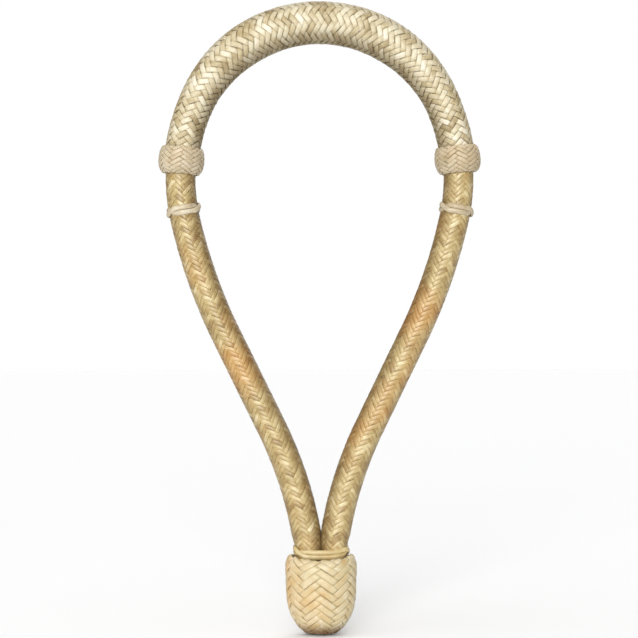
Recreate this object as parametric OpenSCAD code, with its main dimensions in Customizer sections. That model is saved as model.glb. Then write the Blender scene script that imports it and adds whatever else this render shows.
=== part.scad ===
// Braided rawhide bosal: the noseband of a hackamore.
// It stands upright in the XZ plane, nose at the top and heel knot at the bottom, thickness along Y.
// The origin is the middle of the heel knot's lowest point.

/* [Loop] */
// Height of the nose centreline above the lowest point of the heel knot
nose_h = 336.5; // [330:0.5:345]
// Radius of the centreline over the nose
nose_r = 74; // [72:1:76]
// Angle that each half of the nose arc turns through
nose_turn = 66; // [64:0.5:68]
// Radius of the centreline past the side buttons
shoulder_r = 102; // [100:1:106]
// Angle that each shoulder turns through
shoulder_turn = 36.5; // [35:0.5:38]
// Radius of the centreline along the upper cheek
side_r = 290; // [270:5:310]
// Angle that each upper cheek turns through
side_turn = 13.5; // [12:0.5:15]
// Radius of the long reverse bend that brings the cheeks together above the heel
heel_r = 220; // [200:5:240]
// Radius of the short bend at the collar that turns the cheeks upright
collar_bend_r = 60; // [40:5:80]
// Angle that the short bend turns through
collar_turn = 10; // [8:0.5:12]

/* [Cheeks] */
// Diameter of the plaited body
body_d = 16.4; // [16.2:0.1:16.4]
// Diameter that the body is squeezed to under the heel collar and inside the heel knot
heel_body_d = 14.2; // [14:0.1:14.6]
// Diameter of the twisted rawhide core inside the body
core_d = 8; // [6:0.5:9]
// Gap between the two cheeks where they lie side by side
cheek_gap = 0.1; // [0.1:0.1:0.4]
// Height of the cheeks' cut ends above the lowest point of the heel knot
cheek_end_h = 14; // [14:0.5:18]
// Height of the core's cut ends
core_end_h = 10; // [10:0.5:14]

/* [Nose button] */
// Diameter of the nose button at its middle
nose_mid_d = 23.6; // [23:0.1:24.4]
// Diameter of the nose button at its two ends
nose_end_d = 19.6; // [19.4:0.1:20.4]
// Distance along the centreline from the top of the nose to each end of the nose button
nose_half = 111.6; // [110.4:0.2:112]
// Thickness of the nose button's braided cover
nose_cover_t = 1.1; // [1:0.1:1.2]
// Distance along the centreline from the top of the nose to each end of the built-up swell
swell_half = 88; // [80:1:90]
// Length of the whipping at each end of the swell
whipping_len = 6; // [4:0.5:8]

/* [Side buttons] */
// Distance along the centreline from the top of the nose to the middle of each side button
side_button_s = 118.2; // [117.8:0.1:119]
// Length of each side button
side_button_len = 16.8; // [16:0.1:17.4]
// Largest diameter of each side button
side_button_d = 25.4; // [24.8:0.1:27]
// Diameter of a side button's upper end, which covers the end of the nose button
side_button_top_d = 21.6; // [21.4:0.1:22.6]
// Diameter of a side button's lower end
side_button_end_d = 18.8; // [18.6:0.1:20]

/* [Ring knots] */
// Distance along the centreline from the top of the nose to the middle of each ring knot
ring_knot_s = 145.6; // [143:0.2:148]
// Diameter of each ring knot
ring_knot_d = 20.2; // [19.6:0.1:21]
// Height of each ring knot
ring_knot_h = 5.6; // [4.5:0.1:6]

/* [Heel] */
// Greatest width of the heel knot
heel_w = 39.6; // [39.4:0.1:41]
// Greatest depth of the heel knot
heel_d = 31.4; // [31:0.1:33]
// Height of the heel knot at its two sides
heel_h = 44.4; // [43.6:0.2:45.2]
// How far the heel knot's top edge dips at the front and the back
heel_dip = 2; // [1.4:0.1:3]
// Height at which the heel knot's rounded end begins
heel_round_h = 23; // [22:0.5:25]
// Thickness of the heel knot's braided cover
heel_cover_t = 2; // [1.6:0.1:2]
// Height of the two-strand collar that binds the cheeks above the heel knot
collar_h = 5.2; // [4.5:0.1:5.6]
// Thickness of that collar
collar_t = 1.4; // [1.2:0.1:1.6]

/* [Hidden] */

$fn = 64;
deg = 180 / PI;
// Clearance between a foundation and what is braided over it
fit = 0.05;
body_r = body_d / 2;
heel_body_r = heel_body_d / 2;
core_r = core_d / 2;

// Headings along the right cheek, in degrees below +X
head_1 = nose_turn;
head_2 = head_1 + shoulder_turn;
head_3 = head_2 + side_turn;
lean = head_3 - 90;

// Where the centreline's arcs meet, as [x, z]
point_0 = [0, nose_h];
point_1 = point_0 + arc_step(nose_r, 0, head_1);
point_2 = point_1 + arc_step(shoulder_r, head_1, head_2);
point_3 = point_2 + arc_step(side_r, head_2, head_3);
heel_x = heel_body_r + cheek_gap / 2;
heel_bend_x = heel_r * (cos(collar_turn) - cos(lean));
collar_bend_x = collar_bend_r * (1 - cos(collar_turn));
straight_len = (point_3.x - heel_bend_x - collar_bend_x - heel_x) / sin(lean);
head_5 = 90 + collar_turn;
point_4 = point_3 + straight_len * [cos(head_3), -sin(head_3)];
point_5 = point_4 + arc_step(-heel_r, head_3, head_5);
point_6 = point_5 + arc_step(-collar_bend_r, head_5, 90);

// Distance along the centreline from the top of the nose to each of those points
length_1 = nose_r * head_1 / deg;
length_2 = length_1 + shoulder_r * shoulder_turn / deg;
length_3 = length_2 + side_r * side_turn / deg;
length_4 = length_3 + straight_len;
length_5 = length_4 + heel_r * (lean - collar_turn) / deg;
length_6 = length_5 + collar_bend_r * collar_turn / deg;

// Sides and rings of the swept tubes
tube_sides = 24;
core_sides = 12;
nose_rings = 36;
swell_rings = 30;
nose_steps = 12;
shoulder_steps = 7;
side_steps = 3;
heel_steps = 7;
collar_bend_steps = 3;
// The nose button keeps its full diameter this far either side of the top
nose_flat = 30;
taper_len = 70;

// Heel knot levels
heel_shoulder_h = 37;
heel_end_h = 24.5;
heel_levels = 22;
heel_sides = 48;
heel_top_w = 33;
heel_top_d = 21;
heel_waist = 0.5;
heel_cavity_h = 7;
heel_cavity_levels = 16;
filler_bottom = 20;
filler_top = 38;
tie_bottom = 26;
tie_top = 32;
tie_t = 0.7;
// Height of the collar's middle at the two sides of the cheeks: it rests on the heel knot's rim
collar_side_h = heel_h + 0.1 + collar_h / 2;
collar_sides = 12;
collar_rings = 48;

colour_braid = [0.80, 0.66, 0.38];
colour_pale = [0.90, 0.84, 0.68];
colour_core = [0.62, 0.48, 0.30];

// Change of [x, z] along an arc that turns downward from one heading to another
function arc_step(r, a, b) = r * [sin(b) - sin(a), cos(b) - cos(a)];
function on_arc(p, r, a, s) =
    let (b = a + s / r * deg, q = p + arc_step(r, a, b)) [q.x, q.y, b];
function on_line(p, a, s) = [p.x + s * cos(a), p.y - s * sin(a), a];

// [x, z, heading] at a distance along the right half of the centreline
function track(s) =
    s < length_1 ? on_arc(point_0, nose_r, 0, s)
    : s < length_2 ? on_arc(point_1, shoulder_r, head_1, s - length_1)
    : s < length_3 ? on_arc(point_2, side_r, head_2, s - length_2)
    : s < length_4 ? on_line(point_3, head_3, s - length_3)
    : s < length_5 ? on_arc(point_4, -heel_r, head_3, s - length_4)
    : s < length_6 ? on_arc(point_5, -collar_bend_r, head_5, s - length_5)
    : on_line(point_6, 90, s - length_6);
// The same on either side: a negative distance is on the left cheek
function track_both(s) =
    s >= 0 ? track(s) : let (t = track(-s)) [-t.x, t.y, -t.z];

// 0 below the low mark, 1 above the high one, and smooth between
function ease(v, low, high) =
    let (u = min(1, max(0, (v - low) / (high - low)))) (1 - cos(180 * u)) / 2;
// Outer radius of the plaited body, less where the two cheeks press against each other
function body_radius(s) =
    abs(s) < length_3 ? body_r : min(body_r, track(abs(s)).x - cheek_gap / 2);
// Outer radius of the nose button
function nose_radius(s) =
    nose_mid_d / 2 - (nose_mid_d - nose_end_d) / 2 * ease(abs(s), nose_flat, nose_flat + taper_len);
function cover_inside(s) = nose_radius(s) - nose_cover_t;

// One ring of points round the centreline
function ring(s, r, sides) =
    let (t = track_both(s))
    [for (i = [0 : sides - 1])
        let (a = 360 * i / sides)
        [t.x + r * cos(a) * sin(t.z), r * sin(a), t.y + r * cos(a) * cos(t.z)]];

// Side faces between rings that follow each other in one list of points, first ring at an offset
function skin(rings, sides, first, flip) =
    [for (j = [0 : rings - 2]) for (i = [0 : sides - 1])
        let (a = first + j * sides + i, b = first + j * sides + (i + 1) % sides)
        each flip ? [[a, b, b + sides], [a, b + sides, a + sides]]
            : [[a, b + sides, b], [a, a + sides, b + sides]]];
// Flat faces that join one end ring of a skin to the same ring of the skin inside it
function rim(sides, outer, inner, flip) =
    [for (i = [0 : sides - 1])
        let (k = (i + 1) % sides)
        each flip ? [[outer + i, inner + k, outer + k], [outer + i, inner + i, inner + k]]
            : [[outer + i, outer + k, inner + k], [outer + i, inner + k, inner + i]]];

// A tube along the centreline with its own outer and inner radius at each station
module swept_tube(stations, outer_r, inner_r) {
    rings = len(stations);
    shift = rings * tube_sides;
    last = shift - tube_sides;
    outer = [for (j = [0 : rings - 1]) each ring(stations[j], outer_r[j], tube_sides)];
    inner = [for (j = [0 : rings - 1]) each ring(stations[j], inner_r[j], tube_sides)];
    polyhedron(points = concat(outer, inner), faces = concat(
        skin(rings, tube_sides, 0, true), skin(rings, tube_sides, shift, false),
        rim(tube_sides, 0, shift, true), rim(tube_sides, last, shift + last, false)));
}
// A solid rod along the centreline
module swept_rod(stations, r, sides) {
    rings = len(stations);
    last = (rings - 1) * sides;
    polyhedron(points = [for (s = stations) each ring(s, r, sides)], faces = concat(
        skin(rings, sides, 0, true),
        [[for (i = [sides - 1 : -1 : 0]) i]],
        [[for (i = [0 : sides - 1]) last + i]]));
}

// Equal steps along one stretch, without its last point
function steps(from, to, count) = [for (i = [0 : count - 1]) from + (to - from) * i / count];
// Stations along the whole loop, closer together where it bends, down to a height
function loop_stations(end_h) =
    let (end = length_6 + point_6.y - end_h, half = concat(
        steps(0, length_1, nose_steps), steps(length_1, length_2, shoulder_steps),
        steps(length_2, length_3, side_steps), steps(length_3, length_4, 2),
        steps(length_4, length_5, heel_steps), steps(length_5, length_6, collar_bend_steps),
        [length_6, end]))
    concat([for (i = [len(half) - 1 : -1 : 1]) -half[i]], half);
// Puts a piece that is built round the Z axis on the right or left cheek
module on_cheek(s, side) {
    t = track(s);
    mirror([side == "left" ? 1 : 0, 0, 0])
        translate([t.x, 0, t.y]) rotate([0, 90 + t.z, 0]) children();
}

module core() {
    color(colour_core) swept_rod(loop_stations(core_end_h), core_r, core_sides);
}

module body_braid() {
    stations = loop_stations(cheek_end_h);
    color(colour_braid) swept_tube(stations, [for (s = stations) body_radius(s)],
        [for (s = stations) core_r + 2 * fit]);
}

// Rawhide built up over the nose to give it its swell
module nose_swell() {
    stations = [for (j = [0 : swell_rings - 1]) -swell_half + 2 * swell_half * j / (swell_rings - 1)];
    color(colour_core) swept_tube(stations, [for (s = stations) cover_inside(s) - 2 * fit],
        [for (s = stations) body_r + 4 * fit]);
}

whipping_t = 0.25;
// Waxed thread wound round the body at each end of the swell
module nose_whipping(side) {
    color(colour_core) on_cheek(swell_half + 0.4 + whipping_len / 2, side)
        rotate_extrude() translate([body_r + 3 * fit, -whipping_len / 2])
            square([whipping_t, whipping_len]);
}
module nose_whipping_right() { nose_whipping("right"); }
module nose_whipping_left() { nose_whipping("left"); }

module nose_button() {
    stations = [for (j = [0 : nose_rings - 1]) -nose_half + 2 * nose_half * j / (nose_rings - 1)];
    color(colour_pale) swept_tube(stations, [for (s = stations) nose_radius(s)],
        [for (s = stations) cover_inside(s)]);
}

// Bore of a straight ring that slips over the curved body
button_half = side_button_len / 2;
button_bow = button_half * button_half / (2 * shoulder_r);
button_bore_r = body_r + button_bow + fit;
// Seat at the upper end of a side button for the end of the nose button
seat_r = nose_end_d / 2 + button_bow + fit;
seat_len = nose_half - (side_button_s - button_half) + 0.4;
pad_r = side_button_d / 2 - 2.2;
pad_len = side_button_len - seat_len - 2.8;
pad_top = seat_len - button_half;

module side_pad(side) {
    color(colour_core) on_cheek(side_button_s, side) rotate_extrude()
        translate([button_bore_r, pad_top]) square([pad_r - button_bore_r, pad_len]);
}
module side_pad_right() { side_pad("right"); }
module side_pad_left() { side_pad("left"); }

barrel_power = 2.2;
barrel_steps = 16;
// Barrel profile of a side button from its upper end, -1, to its lower end, 1
function barrel(u) =
    let (end = (u < 0 ? side_button_top_d : side_button_end_d) / 2)
    end + (side_button_d / 2 - end) * sqrt(1 - pow(abs(u), barrel_power));

module side_button(side) {
    curve = [for (j = [0 : barrel_steps])
        let (u = 2 * j / barrel_steps - 1) [barrel(u), button_half * u]];
    color(colour_pale) on_cheek(side_button_s, side) difference() {
        rotate_extrude()
            polygon(concat([[button_bore_r, -button_half]], curve, [[button_bore_r, button_half]]));
        translate([0, 0, -button_half - 1]) cylinder(r = seat_r, h = seat_len + 1);
        translate([0, 0, pad_top - fit]) cylinder(r = pad_r + fit, h = pad_len + 2 * fit);
    }
}
module side_button_right() { side_button("right"); }
module side_button_left() { side_button("left"); }

// A low ring of two crossing strands, with a rounded back
module ring_knot(side) {
    half = ring_knot_h / 2;
    inner = body_r + 2 * fit;
    outer = ring_knot_d / 2;
    steps = 10;
    curve = [for (j = [0 : steps]) let (a = 180 * j / steps - 90)
        [inner + 0.3 + (outer - inner - 0.3) * sqrt(cos(a)), half * sin(a)]];
    color(colour_pale) on_cheek(ring_knot_s, side)
        rotate_extrude() polygon(concat([[inner, -half]], curve, [[inner, half]]));
}
module ring_knot_right() { ring_knot("right"); }
module ring_knot_left() { ring_knot("left"); }

// Half width and half depth of the heel knot at a height
function heel_section(z) =
    z < heel_round_h ?
        let (k = sqrt(1 - pow((heel_round_h - z) / heel_end_h, 2)))
        [(heel_w / 2 - heel_waist) * k, (heel_d / 2 - heel_waist) * k]
    : z < heel_shoulder_h ?
        let (k = heel_waist * (heel_shoulder_h - z) / (heel_shoulder_h - heel_round_h))
        [heel_w / 2 - k, heel_d / 2 - k]
    : let (k = sqrt(max(0, 1 - pow((z - heel_shoulder_h) / (heel_h - heel_shoulder_h), 2))))
        [heel_top_w / 2 + (heel_w - heel_top_w) / 2 * k, heel_top_d / 2 + (heel_d - heel_top_d) / 2 * k];
// Ring of points round the knot, lower at the front and the back as it nears the top edge
function oval(z, size) =
    [for (i = [0 : heel_sides - 1])
        let (a = 360 * i / heel_sides)
        [size.x * cos(a), size.y * sin(a), z - heel_dip * pow(z / heel_h, 4) * pow(sin(a), 2)]];
function heel_height(j) = heel_h * ease(j / (heel_levels - 1), 0, 1);
function cavity_height(j) =
    heel_cavity_h + (heel_h - heel_cavity_h) * j / (heel_cavity_levels - 1);
function cavity_section(z) =
    let (f = heel_section(z), low = max(0, 1 - (z - heel_cavity_h) / 4),
        high = max(0, (z - heel_shoulder_h) / (heel_h - heel_shoulder_h)))
    [f.x - heel_cover_t - 2 * low + high * (heel_cover_t - 1),
        f.y - heel_cover_t - 2 * low + high * (heel_cover_t - 1)];

// The braided cover of the heel: an oval pot with a closed, rounded bottom
module heel_knot() {
    outer = [for (j = [0 : heel_levels - 1])
        let (z = heel_height(j)) each oval(z, heel_section(z))];
    inner = [for (j = [0 : heel_cavity_levels - 1])
        let (z = cavity_height(j)) each oval(z, cavity_section(z))];
    shift = heel_levels * heel_sides;
    last = shift + (heel_cavity_levels - 1) * heel_sides;
    color(colour_pale) polyhedron(points = concat(outer, inner), faces = concat(
        skin(heel_levels, heel_sides, 0, false),
        skin(heel_cavity_levels, heel_sides, shift, true),
        rim(heel_sides, shift - heel_sides, last, true),
        [[for (i = [0 : heel_sides - 1]) i]],
        [[for (i = [heel_sides - 1 : -1 : 0]) shift + i]]));
}

// Outline of a band that is pulled tight round both cheeks
module band(r) {
    for (side = [-1, 1]) translate([side * heel_x, 0]) circle(r);
    square([2 * heel_x, 2 * r], center = true);
}
// Thread wound round both cheek ends
module heel_tie() {
    color(colour_core) translate([0, 0, tie_bottom]) linear_extrude(tie_top - tie_bottom)
        difference() {
            band(heel_body_r + fit + tie_t);
            band(heel_body_r + fit);
        }
}

// Rawhide wedge that fills the hollow beside the two cheeks, grooved for the tie
module heel_filler() {
    size = cavity_section(filler_bottom) - [3 * fit, 3 * fit];
    outline = [for (i = [0 : heel_sides])
        let (a = 180 * i / heel_sides) [size.x * cos(a), size.y * sin(a)]];
    difference() {
        translate([0, 0, filler_bottom]) linear_extrude(filler_top - filler_bottom)
            intersection() {
                polygon(outline);
                translate([-heel_x - heel_body_r, 1]) square([2 * (heel_x + heel_body_r), size.y]);
            }
        translate([0, 0, filler_bottom - 1]) linear_extrude(filler_top)
            for (side = [-1, 1]) translate([side * heel_x, 0]) circle(heel_body_r + fit);
        translate([0, 0, tie_bottom - fit]) linear_extrude(tie_top - tie_bottom + 2 * fit)
            band(heel_body_r + 2 * fit + tie_t);
    }
}
module heel_filler_back() { color(colour_core) heel_filler(); }
module heel_filler_front() { color(colour_core) mirror([0, 1, 0]) heel_filler(); }

// The collar's route: a rounded oblong round both cheeks that dips at the front and the back
function rounded(v) = sign(v) * pow(abs(v), 2 / 3);
function collar_route(a) =
    [(collar_x * rounded(cos(a))), (collar_y * rounded(sin(a))),
        collar_side_h - heel_dip * pow(sin(a), 2)];
// The collar fits round the cheeks where its upper edge crosses them, at this distance along
collar_top_s = length_6 - (collar_side_h + collar_h / 2 - point_6.y);
collar_x = track(collar_top_s).x + body_radius(collar_top_s) + fit + collar_t / 2;
collar_y = body_radius(collar_top_s) + 3 * fit + collar_t / 2;

// Two-strand collar that binds the cheeks where they enter the heel knot
module heel_collar() {
    points = [for (j = [0 : collar_rings - 1])
        let (a = 360 * j / collar_rings, p = collar_route(a), q = collar_route(a + 1),
            turn = atan2(q.y - p.y, q.x - p.x) - 90)
        for (i = [0 : collar_sides - 1])
            let (b = 360 * i / collar_sides, out = collar_t / 2 * cos(b))
            [p.x + out * cos(turn), p.y + out * sin(turn), p.z + collar_h / 2 * sin(b)]];
    count = collar_rings * collar_sides;
    color(colour_pale) polyhedron(points = points, faces = [
        for (j = [0 : collar_rings - 1]) for (i = [0 : collar_sides - 1])
            let (a = j * collar_sides + i, b = j * collar_sides + (i + 1) % collar_sides)
            each [[a, b, (b + collar_sides) % count],
                [a, (b + collar_sides) % count, (a + collar_sides) % count]]]);
}

core();
body_braid();
nose_swell();
nose_whipping_right();
nose_whipping_left();
nose_button();
side_pad_right();
side_pad_left();
side_button_right();
side_button_left();
ring_knot_right();
ring_knot_left();
heel_tie();
heel_filler_front();
heel_filler_back();
heel_knot();
heel_collar();
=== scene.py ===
# Braided rawhide bosal. The strands of each visible braid are laid one by one as ribbons, in place of
# its plain CAD shell. The inner pieces keep their CAD shape.
import math

import bmesh
import bpy
import numpy as np
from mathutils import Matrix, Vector


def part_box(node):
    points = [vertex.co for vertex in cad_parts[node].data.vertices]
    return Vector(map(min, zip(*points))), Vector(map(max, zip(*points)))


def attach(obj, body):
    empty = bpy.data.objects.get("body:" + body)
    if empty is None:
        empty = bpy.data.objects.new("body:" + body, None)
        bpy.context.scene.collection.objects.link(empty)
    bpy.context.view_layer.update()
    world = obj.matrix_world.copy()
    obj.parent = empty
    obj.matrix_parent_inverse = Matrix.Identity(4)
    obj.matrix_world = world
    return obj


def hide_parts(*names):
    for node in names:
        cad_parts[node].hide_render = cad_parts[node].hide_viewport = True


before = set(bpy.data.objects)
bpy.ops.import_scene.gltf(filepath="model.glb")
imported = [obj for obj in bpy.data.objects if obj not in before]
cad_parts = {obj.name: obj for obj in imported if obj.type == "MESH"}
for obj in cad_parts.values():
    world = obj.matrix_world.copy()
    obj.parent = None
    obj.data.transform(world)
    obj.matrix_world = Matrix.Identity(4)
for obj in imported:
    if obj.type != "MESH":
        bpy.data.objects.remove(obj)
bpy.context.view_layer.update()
MM = 0.001

# ---------------------------------------------------------------- camera
# Width of the object plane that the picture takes in, and where its middle lies
VIEW_WIDTH = 0.3509
VIEW_CENTRE = Vector((-0.0006, 0, 0.1735))
LENS, SENSOR = 120.0, 36.0
ROLL = math.radians(0.22)


def make_camera():
    cam = bpy.data.objects.new("camera", bpy.data.cameras.new("camera"))
    bpy.context.scene.collection.objects.link(cam)
    cam.data.lens, cam.data.sensor_width = LENS, SENSOR
    cam.location = VIEW_CENTRE + Vector((0, -VIEW_WIDTH * LENS / SENSOR, 0))
    cam.rotation_euler = (math.pi / 2, ROLL, 0)
    bpy.context.scene.camera = cam


make_camera()

# ---------------------------------------------------------------- centreline
nose_lo, nose_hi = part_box("nose_button")
heel_lo, heel_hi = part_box("heel_knot")
body_lo, body_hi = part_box("body_braid")
collar_lo, collar_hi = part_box("heel_collar")
# The loop is a chain of arcs: their radii, and the angles that they turn through
NOSE_R, SHOULDER_R, SIDE_R, HEEL_R, COLLAR_R = 74 * MM, 102 * MM, 290 * MM, 220 * MM, 60 * MM
NOSE_TURN, SHOULDER_TURN, SIDE_TURN, COLLAR_TURN = (math.radians(a) for a in (66, 36.5, 13.5, 10))
NOSE_MID_R = (nose_hi.y - nose_lo.y) / 2
NOSE_END_R = 9.8 * MM
NOSE_END = 111.6 * MM
# The nose button thins from its middle to its ends between these places
TAPER_START, TAPER_END = 30 * MM, 100 * MM
NOSE_H = nose_hi.z - NOSE_MID_R
BODY_R = (body_hi.y - body_lo.y) / 2
CHEEK_GAP = 0.1 * MM
# The cheeks' strands bed into each other where they press
CHEEK_BED = 0.3 * MM
HEEL_X = 7.1 * MM + CHEEK_GAP / 2
# Places along the centreline are counted from the top of the nose
BUTTON_S, RING_S = 118.2 * MM, 145.6 * MM
BUTTON_HALF, BUTTON_R, BUTTON_TOP_R, BUTTON_END_R = 8.4 * MM, 12.7 * MM, 10.2 * MM, 8.8 * MM
# How far apart the centreline's points are
STEP = 0.25 * MM


def centreline():
    """s, x, z and heading down the right half of the loop, from the top of the nose."""
    x, z, heading, s, rows = 0.0, NOSE_H, 0.0, 0.0, []
    lean = NOSE_TURN + SHOULDER_TURN + SIDE_TURN - math.pi / 2

    def go(length, curve):
        nonlocal x, z, heading, s
        count = max(2, round(length / STEP))
        d = length / count
        for _ in range(count):
            rows.append((s, x, z, heading))
            middle = heading + curve * d / 2
            x, z = x + math.cos(middle) * d, z - math.sin(middle) * d
            heading, s = heading + curve * d, s + d

    for r, turn in ((NOSE_R, NOSE_TURN), (SHOULDER_R, SHOULDER_TURN), (SIDE_R, SIDE_TURN)):
        go(r * turn, 1 / r)
    bend_x = (HEEL_R * (math.cos(COLLAR_TURN) - math.cos(lean))
              + COLLAR_R * (1 - math.cos(COLLAR_TURN)))
    go((x - bend_x - HEEL_X) / math.sin(lean), 0)
    go(HEEL_R * (lean - COLLAR_TURN), -1 / HEEL_R)
    go(COLLAR_R * COLLAR_TURN, -1 / COLLAR_R)
    go(z - body_lo.z, 0)
    rows.append((s, x, z, heading))
    return np.array(rows).T


S, X, Z, H = centreline()
STRAIGHT_S = NOSE_R * NOSE_TURN + SHOULDER_R * SHOULDER_TURN + SIDE_R * SIDE_TURN


def track(s):
    """Place and heading on either half; the left half has negative s."""
    a, side = np.abs(s), np.where(s < 0, -1.0, 1.0)
    x, z, h = np.interp(a, S, X), np.interp(a, S, Z), np.interp(a, S, H)
    return x * side, z, h * side


def ease(v, low, high):
    u = np.clip((v - low) / (high - low), 0, 1)
    return (1 - np.cos(np.pi * u)) / 2


def nose_radius(s):
    return NOSE_MID_R - (NOSE_MID_R - NOSE_END_R) * ease(np.abs(s), TAPER_START, TAPER_END)


def body_radius(s):
    """The plaited body's radius, less where the two cheeks press against each other."""
    pressed = np.minimum(BODY_R, np.abs(track(s)[0]) + CHEEK_BED / 2)
    return np.where(np.abs(s) < STRAIGHT_S, BODY_R, pressed)


# ---------------------------------------------------------------- surfaces that strands lie on
TUBE_POINTS, PROFILE_POINTS = 600, 300
# No strand comes closer than this to a turned surface's axis
THINNEST = 0.1 * MM


def reach(w, grid, table):
    """Interpolates, and carries on in a straight line past both ends."""
    low = (table[1] - table[0]) / (grid[1] - grid[0])
    high = (table[-1] - table[-2]) / (grid[-1] - grid[-2])
    past = np.minimum(w - grid[0], 0) * low + np.maximum(w - grid[-1], 0) * high
    return np.interp(w, grid, table) + past


class Tube:
    """A tube round the centreline. w counts half pitches of the braid along it."""

    def __init__(self, start, end, radius, pitch):
        s = np.linspace(start, end, TUBE_POINTS)
        step = np.abs(end - start) / (TUBE_POINTS - 1)
        w = np.concatenate([[0], np.cumsum(step / (pitch((s[1:] + s[:-1]) / 2) / 2))])
        self.s, self.w, self.radius, self.count = s, w, radius, w[-1]

    def at(self, phi, w, lift):
        s = reach(w, self.w, self.s)
        x, z, h = track(s)
        r = self.radius(s) + lift
        out = r * np.cos(phi)
        return np.stack([x + out * np.sin(h), r * np.sin(phi), z + out * np.cos(h)], -1)


class Turned:
    """An oval surface about an axis, from an even profile of half width, half depth and height.

    w runs through count half pitches of the braid from one end to the other. dip lowers the surface
    by an amount that depends on the angle, and a corner below 1 squares the oval."""

    def __init__(self, profile, count, origin, axis_x, axis_z, dip=None, corner=1.0):
        self.p, self.count = profile, count
        self.w = np.linspace(0, count, len(profile))
        slope = np.gradient(profile[:, 0]), np.gradient(profile[:, 2])
        size = np.hypot(*slope)
        sign = 1 if slope[1][len(profile) // 2] > 0 else -1
        self.n = sign * slope[1] / size, -sign * slope[0] / size
        self.origin, self.ax, self.az = np.array(origin), np.array(axis_x), np.array(axis_z)
        self.dip, self.corner = dip, corner

    def at(self, phi, w, lift):
        a, b, height = (reach(w, self.w, self.p[:, i]) for i in range(3))
        nr, nz = (np.interp(w, self.w, n) for n in self.n)
        c, s = (np.sign(v) * np.abs(v) ** self.corner for v in (np.cos(phi), np.sin(phi)))
        x = np.maximum(a + lift * nr, THINNEST) * c
        y = np.maximum(b + lift * nr, THINNEST) * s
        z = height + lift * nz
        if self.dip is not None:
            z = z - self.dip(phi, height)
        return (self.origin + x[..., None] * self.ax + y[..., None] * np.array([0, 1, 0])
                + z[..., None] * self.az)


def even_profile(curve):
    """A profile with its points spread evenly along its length."""
    c = np.array(curve)
    d = np.concatenate([[0], np.cumsum(np.linalg.norm(np.diff(c[:, [0, 2]], axis=0), axis=1))])
    t = np.linspace(0, d[-1], PROFILE_POINTS)
    return np.stack([np.interp(t, d, c[:, i]) for i in range(3)], 1)


# ---------------------------------------------------------------- strands
# How many crossings a strand's width, place aside, height and tone take to change
WIDTH_RUN, ASIDE_RUN, RISE_RUN, TONE_RUN = 2.3, 3.1, 1.7, 2.6
# The share of its width that a strand gains or loses in all
WIDTH_SWING = 0.12
NOISE_VALUES = 64
# A strand turns back this many half pitches short of an edge, and starts to level out at the second
BIGHT_ROUND, BIGHT_LEVEL = 0.4, 0.6
# Away from a ring's crossing the strands come back to one level between these distances, counted in
# half lengths of the crossing
PART_START, PART_END = 0.75, 1.5


def section(crown, plain=False):
    """One strand's section: share of the half width, and height as a share of the thickness.

    A plain one has fewer points along its top."""
    shares = (-0.6, 0, 0.6) if plain else (-0.82, -0.45, 0, 0.45, 0.82)
    top = [(x, 0.5 - crown * x * x) for x in shares]
    # below the crown come the rounded corner, the widest point and the foot
    corner, corner_height = 0.95, 0.5 - crown - 0.14
    widest_height, foot = -0.25, 0.85
    left = [(-1, widest_height), (-corner, corner_height)]
    right = [(corner, corner_height), (1, widest_height)]
    return left + top + right + [(foot, -0.5), (-foot, -0.5)]


def level(a, b, f, sharp, shift):
    """Height between two crossings: a strand that is over comes down before the next one's edge."""
    u = np.clip((f - 0.5 + shift * (a - b) / 2) / sharp + 0.5, 0, 1)
    return a + (b - a) * (u * u * (3 - 2 * u))


def value_noise(t, values):
    """Smooth noise that passes through one random value at each whole t."""
    i = np.floor(t).astype(int)
    f = t - i
    f = f * f * (3 - 2 * f)
    return values[i % len(values)] * (1 - f) + values[(i + 1) % len(values)] * f


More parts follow.
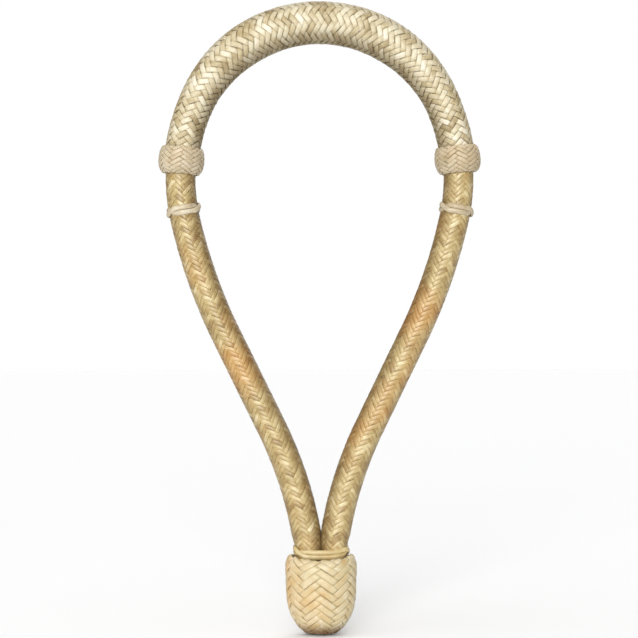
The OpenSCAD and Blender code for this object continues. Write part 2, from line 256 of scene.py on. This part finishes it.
class Braid:
    """Lays ribbons over one surface in a lattice of N strands each way.

    A strand goes over as many others as over says, then under as many. At 0 the strands that go down
    lie over all the others. width and wander are shares of the lattice's spacing, and wobble is a
    share of the thickness. samples is the number of points in half a pitch. sharp and shift shape the
    way from over to under. sink is how far an under strand goes down: in a ring it only presses in,
    and stays in sight."""

    def __init__(self, surface, strands, over, thick, seed, width=0.96, turn=0.0, wander=0.03,
                 wobble=0.06, crown=0.2, samples=6, sharp=0.44, shift=0.11, soil=None, plain=False,
                 sink=1.0):
        self.surface, self.n, self.thick, self.width, self.turn = surface, strands, thick, width, turn
        self.code = np.array([1 if over == 0 or (k // over) % 2 == 0 else -1
                              for k in range(2 * strands)])
        self.rng = np.random.default_rng(seed)
        self.sharp, self.shift, self.samples = sharp, shift, samples
        self.wander, self.wobble, self.section = wander, wobble, section(crown, plain)
        self.soil, self.sink = soil, sink

    def heights(self, u, v, index, down):
        """-1 under to 1 over at lattice place (u, v), on a strand of fixed u (down) or fixed v."""
        along = v if down else u
        base = np.floor(along)
        k = (index + base).astype(int)
        sign = 1 if down else -1
        a = sign * self.code[k % (2 * self.n)]
        b = sign * self.code[(k + 1) % (2 * self.n)]
        return level(a, b, along - base, self.sharp, self.shift)

    def ribbon(self, phi, w, down, index_down, index_up, closed=False, blank=0.0):
        """One ribbon along the path (phi, w). down is 1 or -1, and blank is 1 where nothing crosses."""
        n, surf, tiny = self.n, self.surface, 1e-3
        here = surf.at(phi, w, 0)
        round_step = surf.at(phi + tiny, w, 0) - surf.at(phi - tiny, w, 0)
        along_step = surf.at(phi, w + tiny, 0) - surf.at(phi, w - tiny, 0)
        r = np.linalg.norm(round_step, axis=-1) / (2 * tiny)
        h = np.linalg.norm(along_step, axis=-1) / (2 * tiny)
        if closed:
            dphi = (np.roll(phi, -1) - np.roll(phi, 1) + np.pi) % (2 * np.pi) - np.pi
            dw = np.roll(w, -1) - np.roll(w, 1)
        else:
            dphi, dw = np.gradient(phi), np.gradient(w)
        tp, tw = dphi * r, dw * h
        size = np.hypot(tp, tw)
        tp, tw = tp / size, tw / size
        spacing = 1 / np.sqrt((n / (2 * np.pi * r)) ** 2 + (0.5 / h) ** 2)
        seed = self.rng.random((5, NOISE_VALUES))
        run = np.cumsum(np.concatenate([[0], np.linalg.norm(np.diff(here, axis=0), axis=-1)]))
        steps = run / np.median(spacing)
        # a closed ribbon's noise fades to nothing at its join
        fade = np.clip(np.minimum(steps, steps[-1] - steps) / 2, 0, 1) if closed else np.ones_like(run)
        swing = WIDTH_SWING * fade * (value_noise(steps / WIDTH_RUN, seed[0]) - 0.5)
        half = self.width * spacing / 2 * (1 + swing)
        aside = self.wander * spacing * fade * (value_noise(steps / ASIDE_RUN, seed[1]) - 0.5) * 2
        rise = self.wobble * fade * (value_noise(steps / RISE_RUN, seed[2]) - 0.5) * 2
        noise = value_noise(steps / TONE_RUN, seed[3]) * fade + 0.5 * (1 - fade)
        tone = 0.5 * seed[4][0] + 0.5 * noise
        co, lifts, soils = [], [], []
        for share, height in self.section:
            x = share * half + aside
            p, q = phi - tw * x / r, w + tp * x / h
            v, u = (n * p / np.pi + q) / 2, (n * p / np.pi - q) / 2
            f = np.where(down > 0, self.heights(u, v, index_down, True),
                         self.heights(u, v, index_up, False)) * (1 - blank)
            f = np.maximum(f, -self.sink)
            place = surf.at(p + self.turn, q, self.thick * (f / 2 + height - 1 + rise))
            co.append(place)
            lifts.append(f)
            soil = np.zeros_like(f) if self.soil is None else self.soil(p + self.turn, place)
            soils.append(soil)
        shares = np.array([s for s, _ in self.section])
        shape = (len(run), len(shares))
        return {"co": np.stack(co, 1), "lift": np.stack(lifts, 1), "soil": np.stack(soils, 1),
                "along": np.broadcast_to(run[:, None], shape), "across": shares[None] * half[:, None],
                "edge": np.broadcast_to(np.abs(shares)[None], shape),
                "tone": np.broadcast_to(tone[:, None], shape),
                "id": np.full(shape, self.rng.random() * 9), "closed": closed}

    def straight(self, down):
        """All the strands of one family on a tube, from end to end."""
        total = self.surface.count
        w = np.linspace(0, total, int(total * self.samples) + 1)
        sign = 1 if down else -1
        return [self.ribbon(np.pi * (2 * i + sign * w) / self.n, w, np.full(len(w), sign), i, i)
                for i in range(self.n)]

    def bouncing(self, quick=0.0):
        """A Turk's head: strands run from edge to edge and turn back in bights, closed on themselves.

        With quick they lie side by side, and cross that much faster than the lattice."""
        n, count = self.n, self.surface.count
        per_leg = int(count * self.samples)
        t = (np.arange(per_leg) + 0.5) / per_leg
        near = np.hypot(count * np.minimum(t, 1 - t), BIGHT_ROUND)
        leg_w = np.where(t < 0.5, near, count - near)
        if quick:
            u = np.clip((t - 0.5) * quick + 0.5, 0, 1)
            leg_w = count * u * u * (3 - 2 * u)
        made, seen = [], set()
        for first in range(n):
            if first in seen:
                continue
            phi, w, down, numbers = [], [], [], []
            turn, i = 0.0, first
            while i not in seen:
                seen.add(i)
                for leg in (1, -1):
                    phi.append(turn + np.pi * (2 * first + count * t) / n)
                    w.append(leg_w if leg > 0 else count - leg_w)
                    down.append(np.full(per_leg, leg))
                    # the strand's place in the lattice stays the same along a leg
                    even = count * t if leg > 0 else count * (1 - t)
                    numbers.append(np.rint((n * phi[-1] / np.pi - leg * even) / 2).astype(int))
                    turn += np.pi * count / n
                i = (i + count) % n
            phi, w, down, numbers = (np.concatenate(v) for v in (phi, w, down, numbers))
            if quick:
                # level where the strands lie side by side, apart only where they cross
                away = np.abs(np.tile(t, len(w) // per_leg) - 0.5) * quick * 2
                blank = ease(away, PART_START, PART_END)
            else:
                blank = np.clip(1 - np.minimum(w, count - w) / BIGHT_LEVEL, 0, 1)
            made.append(self.ribbon(phi, w, down, numbers, numbers, True, blank))
        return made


def build(name, ribbons, material, slot, *nodes):
    """Joins ribbons into one mesh object with the attributes that the rawhide material reads."""
    co, faces, offset = [], [], 0
    for r in ribbons:
        n, k = r["co"].shape[:2]
        co.append(r["co"].reshape(-1, 3))
        rows = np.arange(n if r["closed"] else n - 1)
        here, after, i = rows[:, None] * k, ((rows + 1) % n)[:, None] * k, np.arange(k)[None]
        quads = [here + i, here + (i + 1) % k, after + (i + 1) % k, after + i]
        faces.extend((np.stack(quads, -1).reshape(-1, 4) + offset).tolist())
        if not r["closed"]:
            faces.append([offset + j for j in range(k)][::-1])
            faces.append([offset + (n - 1) * k + j for j in range(k)])
        offset += n * k
    mesh = bpy.data.meshes.new(name)
    mesh.from_pydata(np.concatenate(co).tolist(), [], faces)
    for key in ("tone", "edge", "lift", "soil"):
        values = np.concatenate([r[key].reshape(-1) for r in ribbons]).astype(np.float32)
        mesh.attributes.new(key, "FLOAT", "POINT").data.foreach_set("value", values)
    grain = np.concatenate([np.stack([r["along"], r["across"], r["id"] * 0.01], -1).reshape(-1, 3)
                            for r in ribbons]).astype(np.float32)
    mesh.attributes.new("grain", "FLOAT_VECTOR", "POINT").data.foreach_set("vector", grain.ravel())
    bm = bmesh.new()
    bm.from_mesh(mesh)
    bmesh.ops.recalc_face_normals(bm, faces=bm.faces)
    bm.to_mesh(mesh)
    bm.free()
    mesh.polygons.foreach_set("use_smooth", np.ones(len(mesh.polygons), bool))
    mesh.materials.append(material)
    o = bpy.data.objects.new(name, mesh)
    bpy.context.scene.collection.objects.link(o)
    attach(o, "root")
    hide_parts(*nodes)


# ---------------------------------------------------------------- materials
def linear(r, g, b):
    """An sRGB colour from 0 to 255, as the linear colour that Blender wants."""
    return tuple((c / 255 / 12.92) if c / 255 <= 0.04045 else ((c / 255 + 0.055) / 1.055) ** 2.4
                 for c in (r, g, b)) + (1.0,)


class Material:
    """A node material with short calls for the nodes that it needs."""

    def __init__(self, name):
        self.m = bpy.data.materials.new(name)
        self.m.use_nodes = True
        self.nodes, self.links = self.m.node_tree.nodes, self.m.node_tree.links
        self.shader = self.nodes["Principled BSDF"]
        self.place = self.nodes.new("ShaderNodeTexCoord").outputs["Object"]

    def attribute(self, key, output="Fac"):
        node = self.nodes.new("ShaderNodeAttribute")
        node.attribute_name = key
        return node.outputs[output]

    def put(self, value, socket):
        if isinstance(value, (int, float, tuple)):
            socket.default_value = value
        else:
            self.links.new(value, socket)

    def math(self, op, a, b, clamp=False):
        node = self.nodes.new("ShaderNodeMath")
        node.operation, node.use_clamp = op, clamp
        self.put(a, node.inputs[0])
        self.put(b, node.inputs[1])
        return node.outputs[0]

    def swing(self, value, amount):
        """A value from 0 to 1 as a swing to both sides of 0."""
        return self.math("MULTIPLY", self.math("SUBTRACT", value, 0.5), amount)

    def noise(self, vector, scale, detail, w=None):
        node = self.nodes.new("ShaderNodeTexNoise")
        if w is not None:
            node.noise_dimensions = "4D"
            node.inputs["W"].default_value = w
        node.inputs["Scale"].default_value = scale
        node.inputs["Detail"].default_value = detail
        self.links.new(vector, node.inputs["Vector"])
        return node.outputs["Fac"]

    def ramp(self, value, stops):
        node = self.nodes.new("ShaderNodeValToRGB")
        el = node.color_ramp.elements
        while len(el) < len(stops):
            el.new(0.5)
        for e, (at, colour) in zip(el, stops):
            e.position, e.color = at, colour
        self.links.new(value, node.inputs[0])
        return node.outputs[0]

    def mix(self, factor, a, b, blend="MIX"):
        node = self.nodes.new("ShaderNodeMix")
        node.data_type, node.blend_type = "RGBA", blend
        self.put(factor, node.inputs["Factor"])
        self.put(a, node.inputs["A"])
        self.put(b, node.inputs["B"])
        return node.outputs["Result"]

    def bump(self, height, strength, distance):
        node = self.nodes.new("ShaderNodeBump")
        node.inputs["Strength"].default_value = strength
        node.inputs["Distance"].default_value = distance
        self.links.new(height, node.inputs["Height"])
        self.links.new(node.outputs[0], self.shader.inputs["Normal"])


FIBRE_SCALE, BLOTCH_SCALE, CLOUD_SCALE = (420, 2600, 900), 320, 110
SPECKLE, STREAK, CLOUD = 0.7, 0.45, 0.7
# Stains show where their noise is above the start, and the slope is how soon they reach full strength
STAIN_START, STAIN_SLOPE = 0.52, 5.0
# Painted shade lies in the gaps: on strands lower than this, and at the strands' edges
LOW_LIFT, EDGE_POWER, EDGE_SHADE = -0.5, 9, 0.5
ROUGHNESS_SWING = 0.2


def rawhide(name, tones, spread, stain, soil, painted_gap_shade, roughness, coat, seed, patch_scale=30):
    """Rawhide lace with a tone for each strand, blotches, stains, fibres along it and painted shade in
    the gaps.

    stain, soil with painted shade, and the painted shade in the gaps are each a colour and its
    strength, and spread is how much the tones differ."""
    m = Material(name)
    stretch = m.nodes.new("ShaderNodeMapping")
    stretch.inputs["Scale"].default_value = FIBRE_SCALE
    m.links.new(m.attribute("grain", "Vector"), stretch.inputs["Vector"])
    fibre = m.noise(stretch.outputs[0], 1.0, 4)
    blotch = m.noise(m.place, BLOTCH_SCALE, 3)
    patch = m.noise(m.place, patch_scale, 2, seed)
    # tone: the strand's own, moved about by blotches and fibres
    own = m.swing(m.attribute("tone"), spread)
    speckle = m.swing(blotch, SPECKLE)
    streak = m.swing(fibre, STREAK)
    cloud = m.swing(m.noise(m.place, CLOUD_SCALE, 2, seed + 3), CLOUD)
    moved = m.math("ADD", m.math("ADD", own, speckle), m.math("ADD", streak, cloud))
    colour = m.ramp(m.math("ADD", moved, 0.5), tones)
    stained = m.math("MULTIPLY", m.math("SUBTRACT", patch, STAIN_START, True), STAIN_SLOPE, True)
    colour = m.mix(m.math("MULTIPLY", stained, stain[1]), colour, stain[0])
    # soil and painted shade on the loop's sides, and the heel knot's darker end, break up into the
    # blotches
    soil_and_shade_mask = m.math("MULTIPLY", m.attribute("soil"), m.math("ADD", blotch, 0.5), True)
    colour = m.mix(m.math("MULTIPLY", soil_and_shade_mask, soil[1]), colour, soil[0], "MULTIPLY")
    # painted shade in the gaps: on strands that dip under others, and at the strands' edges
    low = m.math("MULTIPLY", m.math("SUBTRACT", LOW_LIFT, m.attribute("lift"), True), 2.0, True)
    rim = m.math("POWER", m.attribute("edge"), EDGE_POWER)
    gap_shade_mask = m.math("MAXIMUM", low, m.math("MULTIPLY", rim, EDGE_SHADE))
    colour = m.mix(m.math("MULTIPLY", gap_shade_mask, painted_gap_shade[1]), colour, painted_gap_shade[0], "MULTIPLY")
    m.put(colour, m.shader.inputs["Base Color"])
    swing = m.math("MULTIPLY", blotch, ROUGHNESS_SWING)
    rough = m.math("ADD", swing, roughness - ROUGHNESS_SWING / 2)
    m.put(rough, m.shader.inputs["Roughness"])
    m.shader.inputs["Coat Weight"].default_value = coat
    m.shader.inputs["Coat Roughness"].default_value = 0.28
    m.shader.inputs["Subsurface Weight"].default_value = 0.1
    m.shader.inputs["Subsurface Radius"].default_value = (1.0, 0.6, 0.3)
    m.shader.inputs["Subsurface Scale"].default_value = 0.001
    m.bump(fibre, 0.3, 0.0002)
    return m.m


CREAM = [(0.0, linear(142, 124, 86)), (0.3, linear(178, 163, 128)), (0.6, linear(200, 190, 162)),
         (1.0, linear(216, 209, 190))]
GOLD = [(0.0, linear(126, 98, 56)), (0.35, linear(158, 135, 87)), (0.65, linear(180, 160, 112)),
        (1.0, linear(212, 199, 160))]
PALE = [(0.0, linear(150, 128, 92)), (0.3, linear(168, 151, 120)), (0.65, linear(181, 167, 140)),
        (1.0, linear(199, 189, 167))]
HEEL = [(0.0, linear(180, 140, 82)), (0.2, linear(184, 163, 118)), (0.55, linear(194, 180, 145)),
        (1.0, linear(208, 200, 176))]
GOLD_PALE = [(0.0, linear(150, 114, 60)), (0.3, linear(166, 141, 90)), (0.65, linear(180, 160, 111)),
             (1.0, linear(196, 181, 140))]
# Soil and painted shade on the loop's sides
OLIVE_SOIL_AND_SHADE, BROWN_SOIL_AND_SHADE = linear(148, 134, 102), linear(128, 96, 54)
# Painted shade for the gaps between strands
UMBER_GAP_SHADE, TAN_GAP_SHADE = linear(124, 102, 66), linear(150, 126, 84)
nose_skin = rawhide("rawhide_nose", CREAM, spread=0.85, stain=(linear(164, 144, 98), 0.45),
                    soil=(OLIVE_SOIL_AND_SHADE, 0.8), painted_gap_shade=(UMBER_GAP_SHADE, 0.6), roughness=0.56, coat=0.06, seed=5.0)
cheek_skin = rawhide("rawhide_cheek", GOLD, spread=0.7, stain=(linear(178, 122, 50), 0.5),
                     soil=(BROWN_SOIL_AND_SHADE, 0.55), painted_gap_shade=(linear(140, 108, 64), 0.35), roughness=0.42,
                     coat=0.18, seed=2.0)
knot_skin = rawhide("rawhide_knot", PALE, spread=0.6, stain=(linear(190, 162, 122), 0.4),
                    soil=(BROWN_SOIL_AND_SHADE, 0.7), painted_gap_shade=(linear(166, 140, 100), 0.45), roughness=0.5,
                    coat=0.12, seed=9.0)
collar_skin = rawhide("rawhide_collar", GOLD_PALE, spread=0.7, stain=(linear(196, 148, 78), 0.6),
                      soil=(BROWN_SOIL_AND_SHADE, 0.7), painted_gap_shade=(TAN_GAP_SHADE, 0.5), roughness=0.5, coat=0.12, seed=21.0,
                      patch_scale=60)
heel_skin = rawhide("rawhide_heel", HEEL, spread=0.9, stain=(linear(200, 150, 80), 0.4),
                    soil=(BROWN_SOIL_AND_SHADE, 0.9), painted_gap_shade=(TAN_GAP_SHADE, 0.5), roughness=0.48, coat=0.14, seed=13.0)

# ---------------------------------------------------------------- the braids
FRONT = -math.pi / 2
# The nose braid's pitch along the loop in mm, and how much longer it is at the nose's ends
NOSE_PITCH, NOSE_PITCH_GAIN = 3.6, 0.35
CHEEK_PITCH = 3.0 * MM
# The cheeks' strands start out of sight, this far below the side button's middle
CHEEK_START = 6 * MM
BARREL_POWER = 2.1
# The side button's profile stops this far short of its ends, to leave room for the bights
BUTTON_TUCK = 0.7 * MM
# The rings' and collar's strands cross this much faster than a lattice would
QUICK = 2.2
RING_R, RING_HALF, RING_CROWN = 10.05 * MM, 1.5 * MM, 0.1 * MM


def shaded_and_rubbed_sides(phi, place):
    """Darkens the loop's inner side, and less its outer side: partly wear where the loop rubs, partly
    painted shade along its edges.
    """
    return ease(-np.cos(phi), 0.2, 1.0) + 0.5 * ease(np.cos(phi), 0.5, 1.0)


def nose():
    def pitch(s):
        return (NOSE_PITCH + NOSE_PITCH_GAIN * np.abs(s) / NOSE_END) * MM

    tube = Tube(-NOSE_END, NOSE_END, nose_radius, pitch)
    braid = Braid(tube, strands=12, over=2, thick=0.78 * MM, seed=11, width=0.97, wander=0.08,
                  wobble=0.14, crown=0.3, soil=shaded_and_rubbed_sides)
    for down, lay in ((True, "right"), (False, "left")):
        build(f"nose_button_strands_{lay}_lay", braid.straight(down), nose_skin, "nose_braid",
              "nose_button")


def cheeks():
    def pitch(s):
        return CHEEK_PITCH * body_radius(s) / BODY_R

    for side, name in ((1, "right"), (-1, "left")):
        tube = Tube(side * (BUTTON_S + CHEEK_START), side * S[-1], body_radius, pitch)
        braid = Braid(tube, strands=15, over=3, thick=0.3 * MM, seed=20 + side, width=1.0, wander=0.12,
                      wobble=0.22, crown=0.2, samples=3, turn=0.2, soil=shaded_and_rubbed_sides, plain=True)
        for down, lay in ((True, "right"), (False, "left")):
            build(f"cheek_{name}_strands_{lay}_lay", braid.straight(down), cheek_skin, "cheek_braid",
                  "body_braid")


def on_cheek(side, s):
    """Origin and axes of a piece built round a cheek: x outward, z down the cheek."""
    x, z, h = (float(v) for v in track(np.array(s)))
    sin, cos = math.sin(h), math.cos(h)
    return (side * x, 0, z), (side * sin, 0, cos), (side * cos, 0, -sin)


def side_buttons():
    u = np.sin(np.linspace(-1, 1, PROFILE_POINTS) * np.pi / 2)
    end = np.where(u < 0, BUTTON_TOP_R, BUTTON_END_R)
    r = end + (BUTTON_R - end) * np.sqrt(np.clip(1 - np.abs(u) ** BARREL_POWER, 0, 1))
    profile = even_profile(np.stack([r, r, u * (BUTTON_HALF - BUTTON_TUCK)], 1))
    for side, name in ((1, "right"), (-1, "left")):
        surf = Turned(profile, 13, *on_cheek(side, BUTTON_S))
        braid = Braid(surf, strands=18, over=3, thick=0.7 * MM, seed=40 + side, width=1.0, turn=FRONT,
                      wander=0.06, wobble=0.1, crown=0.26, samples=8)
        build(f"side_button_{name}_strands", braid.bouncing(), knot_skin, "knot_rawhide",
              f"side_button_{name}")


def ring_knots():
    z = np.linspace(-1, 1, 60)
    r = RING_R - RING_CROWN * z ** 2
    profile = np.stack([r, r, z * RING_HALF], 1)
    for side, name in ((1, "right"), (-1, "left")):
        surf = Turned(profile, 2, *on_cheek(side, RING_S))
        braid = Braid(surf, strands=3, over=0, thick=1.35 * MM, seed=50 + side, width=1.02,
                      turn=FRONT + 0.2 * side, samples=24, wander=0.03, wobble=0.05, crown=0.36,
                      sink=0.4)
        build(f"ring_knot_{name}_strands", braid.bouncing(QUICK), knot_skin, "knot_rawhide",
              f"ring_knot_{name}")


HEEL_HALF_W, HEEL_HALF_D = (heel_hi.x - heel_lo.x) / 2, (heel_hi.y - heel_lo.y) / 2
HEEL_ROUND_H, HEEL_SHOULDER_H, HEEL_END_H = 23 * MM, 37 * MM, 24.5 * MM
HEEL_TOP_W, HEEL_TOP_D, HEEL_WAIST, HEEL_DIP = 16.5 * MM, 10.5 * MM, 0.5 * MM, 2 * MM
HEEL_STRANDS, HEEL_POINTS = 18, 500
HEEL_SLANT = math.tan(math.radians(40))
# The knot's own curve runs between these heights, and the eye under it closes the rest
HEEL_TOP_Z, HEEL_LOW_Z = heel_hi.z - 0.05 * MM, 1.4 * MM
EYE_SHRINK, EYE_DROP = 0.85, 0.9 * MM
# The knot's end is darker below the first height, and less up to the second
LOW_DARK_START, LOW_DARK_END = 1 * MM, 9 * MM
COLLAR_DIP, COLLAR_BELOW_TOP = 2.4 * MM, 2.9 * MM
COLLAR_HALF_H, COLLAR_CROWN = 1.45 * MM, 0.1 * MM


def heel_size(z):
    """Half width and half depth of the heel knot at a height."""
    low = np.sqrt(np.clip(1 - ((HEEL_ROUND_H - z) / HEEL_END_H) ** 2, 0, 1))
    high = np.sqrt(np.clip(1 - ((z - HEEL_SHOULDER_H) / (heel_hi.z - HEEL_SHOULDER_H)) ** 2, 0, 1))
    waist = HEEL_WAIST * np.clip((HEEL_SHOULDER_H - z) / (HEEL_SHOULDER_H - HEEL_ROUND_H), 0, 1)
    sizes = []
    for half, top in ((HEEL_HALF_W, HEEL_TOP_W), (HEEL_HALF_D, HEEL_TOP_D)):
        upper = np.where(z < HEEL_SHOULDER_H, half - waist, top + (half - top) * high)
        sizes.append(np.where(z < HEEL_ROUND_H, (half - HEEL_WAIST) * low, upper))
    return sizes


def heel():
    z = HEEL_TOP_Z + (HEEL_LOW_Z - HEEL_TOP_Z) * (1 - np.cos(np.linspace(0, np.pi, HEEL_POINTS))) / 2
    a, b = heel_size(z)
    # the bottom closes from the last oval to a small eye
    t = np.linspace(0, 1, 100)[1:]
    shrink = 1 - EYE_SHRINK * t
    drop = EYE_DROP * np.sqrt(1 - (1 - t) ** 2)
    a, b = np.concatenate((a, a[-1] * shrink)), np.concatenate((b, b[-1] * shrink))
    z = np.concatenate((z, z[-1] - drop))
    # the steps shorten with the girth, so that the strands keep their slant
    mean = (a + b) / 2
    d = np.hypot(np.diff(mean), np.diff(z))
    half_pitch = np.pi * (mean[1:] + mean[:-1]) / 2 / HEEL_STRANDS * HEEL_SLANT
    steps = np.concatenate([[0], np.cumsum(d / half_pitch)])
    # one strand closes on itself only if the two numbers share no factor
    count = round(steps[-1])
    while math.gcd(count, HEEL_STRANDS) > 1:
        count += 1
    t = np.linspace(0, steps[-1], HEEL_POINTS)
    profile = np.stack([np.interp(t, steps, v) for v in (a, b, z)], 1)

    def dip(phi, height):
        return HEEL_DIP * (height / heel_hi.z) ** 4 * np.sin(phi) ** 2

    def darker_low_end(phi, place):
        return 1 - ease(place[..., 2], LOW_DARK_START, LOW_DARK_END)

    surf = Turned(profile, count, (0, 0, 0), (1, 0, 0), (0, 0, 1), dip)
    braid = Braid(surf, HEEL_STRANDS, over=3, thick=0.9 * MM, seed=61, width=1.0, turn=FRONT,
                  wander=0.05, wobble=0.1, crown=0.2, samples=5, sharp=0.36, soil=darker_low_end)
    build("heel_knot_strands", braid.bouncing(), heel_skin, "knot_rawhide", "heel_knot")


def collar():
    half_w, half_d = (collar_hi.x - collar_lo.x) / 2, (collar_hi.y - collar_lo.y) / 2
    t = np.linspace(1, -1, 60)
    middle, crown = collar_hi.z - COLLAR_BELOW_TOP, COLLAR_CROWN * t ** 2
    profile = np.stack([half_w - crown, half_d - crown, middle + t * COLLAR_HALF_H], 1)

    def dip(phi, height):
        return COLLAR_DIP * np.sin(phi) ** 2

    surf = Turned(profile, 2, (0, 0, 0), (1, 0, 0), (0, 0, 1), dip, corner=2 / 3)
    braid = Braid(surf, strands=3, over=0, thick=1.15 * MM, seed=71, width=1.02, turn=FRONT + 0.25,
                  samples=40, wander=0.03, wobble=0.04, crown=0.36, sink=0.3)
    build("heel_collar_strands", braid.bouncing(QUICK), collar_skin, "knot_rawhide", "heel_collar")


nose()
cheeks()
side_buttons()
ring_knots()
heel()
collar()


# ---------------------------------------------------------------- inner pieces keep their CAD shape
def inner_material(name, dark, light, scale):
    m = Material(name)
    noise = m.noise(m.place, scale, 5)
    m.put(m.ramp(noise, [(0.3, dark), (0.7, light)]), m.shader.inputs["Base Color"])
    m.shader.inputs["Roughness"].default_value = 0.6
    m.bump(noise, 0.3, 0.0003)
    return m.m


core_skin = inner_material("rawhide_core", linear(118, 90, 54), linear(166, 132, 86), 350)
thread_skin = inner_material("thread", linear(70, 48, 26), linear(120, 90, 56), 900)
for node_name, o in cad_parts.items():
    is_thread = "whipping" in node_name or "tie" in node_name
    o.data.materials.clear()
    o.data.materials.append(thread_skin if is_thread else core_skin)


# ---------------------------------------------------------------- floor and light
FLOOR_HALF, FLOOR_WHITE = 6.0, 0.93
# The studio wall behind the object is white, and the room around it is dim
ROOM, WALL = 0.15, 1.0


def floor():
    size = FLOOR_HALF
    mesh = bpy.data.meshes.new("floor")
    corners = [(-size, -size, 0), (size, -size, 0), (size, size, 0), (-size, size, 0)]
    mesh.from_pydata(corners, [], [(0, 1, 2, 3)])
    m = Material("floor")
    m.shader.inputs["Base Color"].default_value = (FLOOR_WHITE, FLOOR_WHITE, FLOOR_WHITE, 1)
    m.shader.inputs["Roughness"].default_value = 1.0
    m.shader.inputs["Specular IOR Level"].default_value = 0.0
    mesh.materials.append(m.m)
    o = bpy.data.objects.new("floor", mesh)
    bpy.context.scene.collection.objects.link(o)


def sun(name, toward, share, spread):
    """A wide soft sun that gives a white surface facing it this share of full white."""
    data = bpy.data.lights.new(name, "SUN")
    data.energy, data.angle = share * math.pi, math.radians(spread)
    o = bpy.data.objects.new(name, data)
    bpy.context.scene.collection.objects.link(o)
    o.rotation_euler = Vector(toward).to_track_quat("Z", "Y").to_euler()


def light():
    world = bpy.data.worlds.new("world")
    bpy.context.scene.world = world
    world.use_nodes = True
    nodes, links = world.node_tree.nodes, world.node_tree.links
    nodes["Background"].inputs[0].default_value = (1, 1, 1, 1)
    # a camera ray sees the wall, and every other ray the room
    strength = nodes.new("ShaderNodeMapRange")
    strength.inputs["To Min"].default_value = ROOM
    strength.inputs["To Max"].default_value = WALL
    links.new(nodes.new("ShaderNodeLightPath").outputs["Is Camera Ray"], strength.inputs["Value"])
    links.new(strength.outputs[0], nodes["Background"].inputs[1])
    sun("top", (-0.25, -0.35, 1), 0.46, 70)
    sun("front", (-0.12, -1, 0.22), 1.0, 25)
    sun("back", (0.35, 1, 0.8), 0.45, 60)
    bpy.context.scene.view_settings.view_transform = "Standard"


floor()
light()
